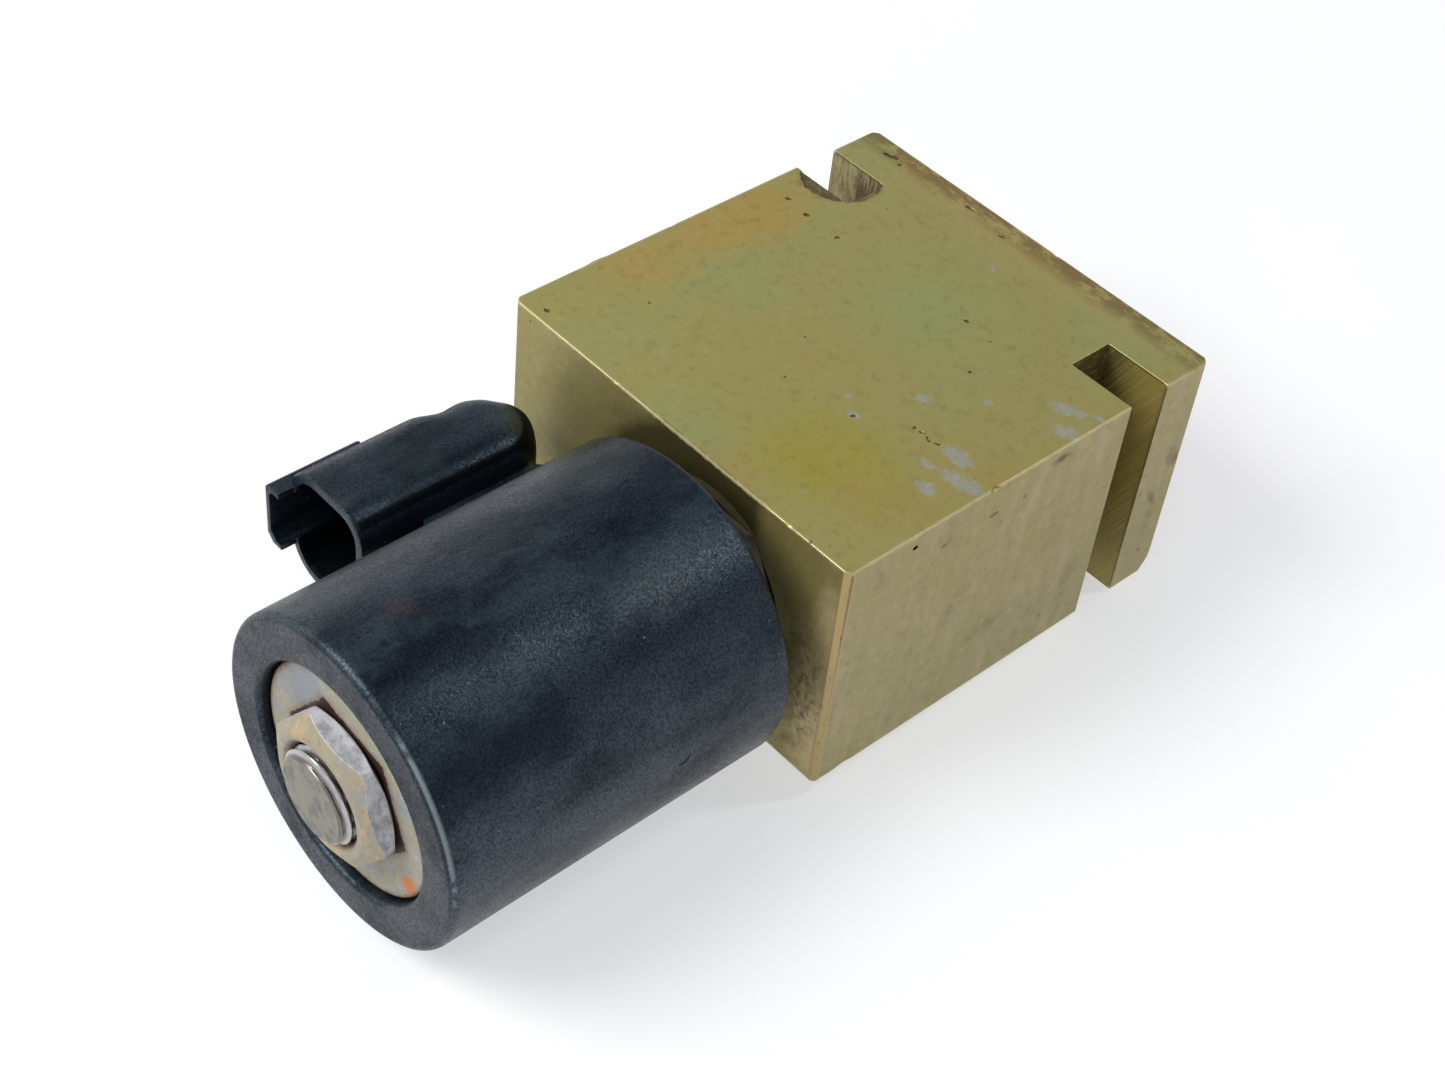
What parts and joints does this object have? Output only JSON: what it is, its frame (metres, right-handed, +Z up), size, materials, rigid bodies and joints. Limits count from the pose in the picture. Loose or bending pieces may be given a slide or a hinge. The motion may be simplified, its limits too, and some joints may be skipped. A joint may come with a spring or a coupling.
{
  "type": "solenoid cartridge valve",
  "caption": "Solenoid cartridge valve: a round black coil with a side connector on a poppet cartridge, screwed into a slotted rectangular aluminium port block with red port caps.",
  "frame": {"origin": "centre of the block's bottom face", "axes": "+Z up out of the block's top face, +Y away from the coil, +X towards the block's right side, away from the coil's connector"},
  "size_m": [0.0698, 0.1334, 0.0441],
  "materials": {
    "dichromate_aluminium": "milled aluminium with a yellow chromate film, satin",
    "steel": "turned steel, satin",
    "zinc_plate": "weathered zinc plate, dull, with rust in the crevices",
    "moulding": "black glass-filled moulding, semi-matt with a grained sheen",
    "nylon": "natural nylon",
    "copper": "enamelled magnet wire",
    "rubber": "nitrile rubber",
    "ptfe": "white ptfe",
    "tin": "tin plate, bright",
    "cap_plastic": "red polyethylene, low gloss"
  },
  "bodies": {
    "valve_body": {"manifold_block": "dichromate_aluminium", "cartridge_adapter": "steel", "valve_cage": "steel", "adapter_oring": "rubber", "cage_oring": "rubber", "backup_ring_front": "ptfe", "backup_ring_rear": "ptfe", "guide_tube": "steel", "pole_piece": "steel", "plunger_spring": "steel"},
    "armature": {"plunger": "steel", "pilot_pin": "steel", "lift_pin": "steel"},
    "poppet": {"main_poppet": "steel"},
    "coil": {"coil_housing": "moulding", "coil_bobbin": "nylon", "copper_winding": "copper", "flux_tube": "zinc_plate", "front_flux_washer": "zinc_plate", "rear_flux_washer": "zinc_plate", "terminal_pin_a": "tin", "terminal_pin_b": "tin", "coil_seal": "rubber"},
    "nut": {"coil_nut": "zinc_plate"},
    "side_cap": {"side_port_cap": "cap_plastic"},
    "rear_cap": {"rear_port_cap": "cap_plastic"}
  },
  "joints": [
    {"name": "armature_lift", "type": "slide", "parent": "valve_body", "child": "armature", "axis": [0, -1, 0], "range_m": [0, 0.0025], "deforming": ["plunger_spring"]},
    {"name": "poppet_lift", "type": "slide", "parent": "valve_body", "child": "poppet", "axis": [0, -1, 0], "range_m": [0, 0.002]},
    {"name": "coil_swivel", "type": "hinge", "parent": "valve_body", "child": "coil", "pos_m": [0.0083, -0.0645, 0.01905], "axis": [0, -1, 0], "continuous": true},
    {"name": "nut_turn", "type": "hinge", "parent": "valve_body", "child": "nut", "pos_m": [0.0083, -0.091, 0.01905], "axis": [0, -1, 0], "continuous": true},
    {"name": "side_cap_pull", "type": "slide", "parent": "valve_body", "child": "side_cap", "axis": [-1, 0, 0], "range_m": [0, 0.014]},
    {"name": "rear_cap_pull", "type": "slide", "parent": "valve_body", "child": "rear_cap", "axis": [0, 1, 0], "range_m": [0, 0.014]}
  ],
  "couplings": [
    {"joint": "poppet_lift", "follows": "armature_lift", "ratio": 0.8}
  ]
}
